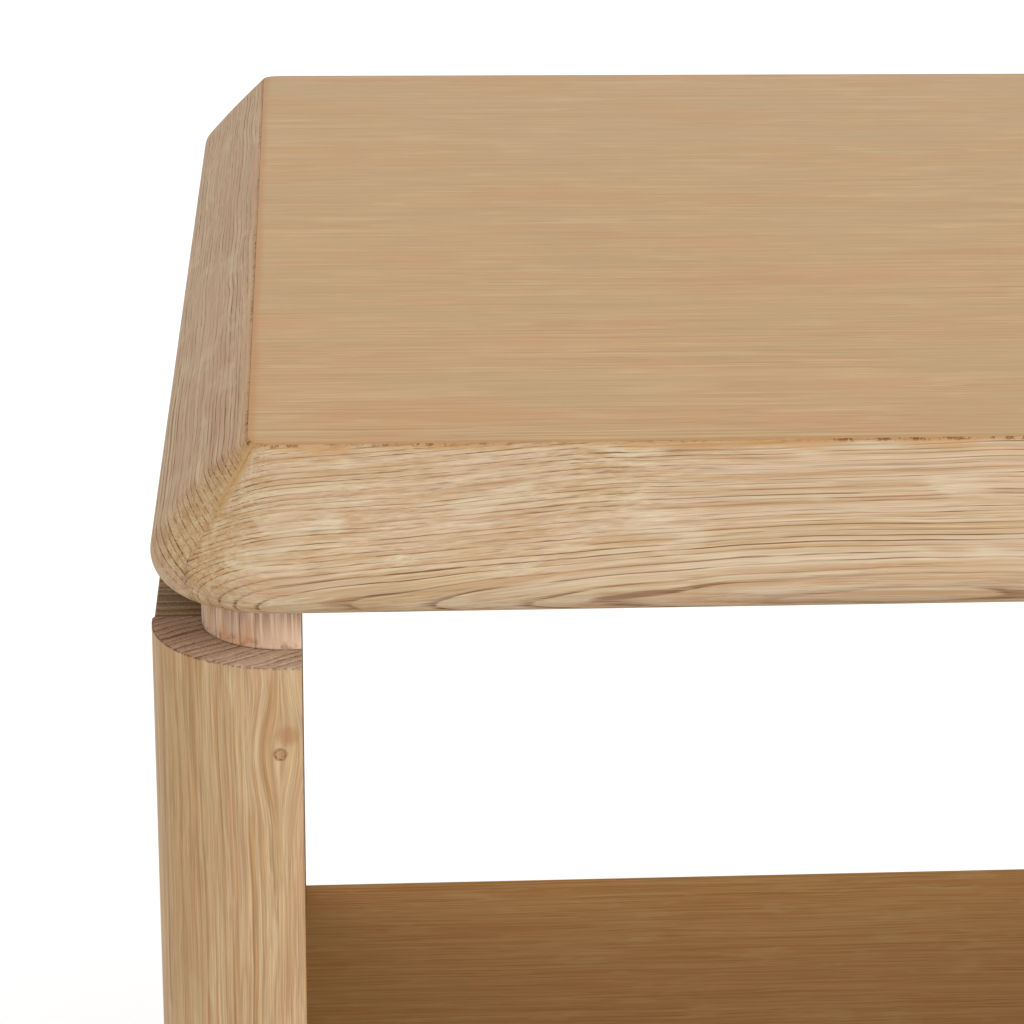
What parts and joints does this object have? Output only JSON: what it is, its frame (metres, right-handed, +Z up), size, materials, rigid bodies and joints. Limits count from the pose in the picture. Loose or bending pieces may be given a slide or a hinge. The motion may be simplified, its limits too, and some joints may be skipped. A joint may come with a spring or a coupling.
{
  "type": "side table with drawer",
  "caption": "Oak side table with a floating mitred top on notched round-cornered legs, an open compartment and a drawer on full-extension slides.",
  "frame": {"origin": "on the floor under the centre of the table", "axes": "+Z up, +X to the right as seen from the front, the drawer faces and opens towards -Y"},
  "size_m": [0.5, 0.5, 0.55],
  "materials": {
    "solid_oak": "matt oiled oak, open pores",
    "oak_veneer": "matt lacquered oak veneer, straight grain",
    "drawer_oak": "pale solid oak, sanded",
    "plywood": "birch plywood, sanded",
    "batten_wood": "planed softwood",
    "dowel_beech": "turned beech",
    "zinc_steel": "zinc plated sheet",
    "screw_steel": "zinc plated",
    "glide_nylon": "off-white nylon"
  },
  "bodies": {
    "carcass": {"rim_front": "solid_oak", "rim_back": "solid_oak", "rim_left": "solid_oak", "rim_right": "solid_oak", "leg_front_left": "solid_oak", "leg_front_right": "solid_oak", "leg_back_left": "solid_oak", "leg_back_right": "solid_oak", "side_panel_left": "solid_oak", "side_panel_right": "solid_oak", "shelf_front_edge": "solid_oak", "shelf_back_edge": "solid_oak", "case_bottom_edge": "solid_oak", "top_panel": "oak_veneer", "shelf_panel": "oak_veneer", "case_bottom": "oak_veneer", "case_back": "oak_veneer", "runner_spacer_left": "batten_wood", "runner_outer_left": "zinc_steel", "runner_spacer_right": "batten_wood", "runner_outer_right": "zinc_steel", "neck_dowels": "dowel_beech", "panel_top_dowels": "dowel_beech", "leg_dowels": "dowel_beech", "shelf_dowels": "dowel_beech", "bottom_dowels": "dowel_beech", "runner_case_screws": "screw_steel", "foot_glides": "glide_nylon"},
    "drawer": {"drawer_front": "solid_oak", "drawer_box_front": "drawer_oak", "drawer_side_left": "drawer_oak", "drawer_side_right": "drawer_oak", "drawer_back": "drawer_oak", "drawer_bottom": "plywood", "runner_inner_left": "zinc_steel", "runner_inner_right": "zinc_steel", "runner_drawer_screws": "screw_steel", "drawer_front_screws": "screw_steel"},
    "slide_middle_left": {"runner_middle_left": "zinc_steel"},
    "slide_middle_right": {"runner_middle_right": "zinc_steel"}
  },
  "joints": [
    {"name": "drawer_slide", "type": "slide", "parent": "carcass", "child": "drawer", "axis": [0, -1, 0], "range_m": [0, 0.39]},
    {"name": "middle_slide_left", "type": "slide", "parent": "carcass", "child": "slide_middle_left", "axis": [0, -1, 0], "range_m": [0, 0.195]},
    {"name": "middle_slide_right", "type": "slide", "parent": "carcass", "child": "slide_middle_right", "axis": [0, -1, 0], "range_m": [0, 0.195]}
  ],
  "couplings": [
    {"joint": "middle_slide_left", "follows": "drawer_slide", "ratio": 0.5},
    {"joint": "middle_slide_right", "follows": "drawer_slide", "ratio": 0.5}
  ]
}
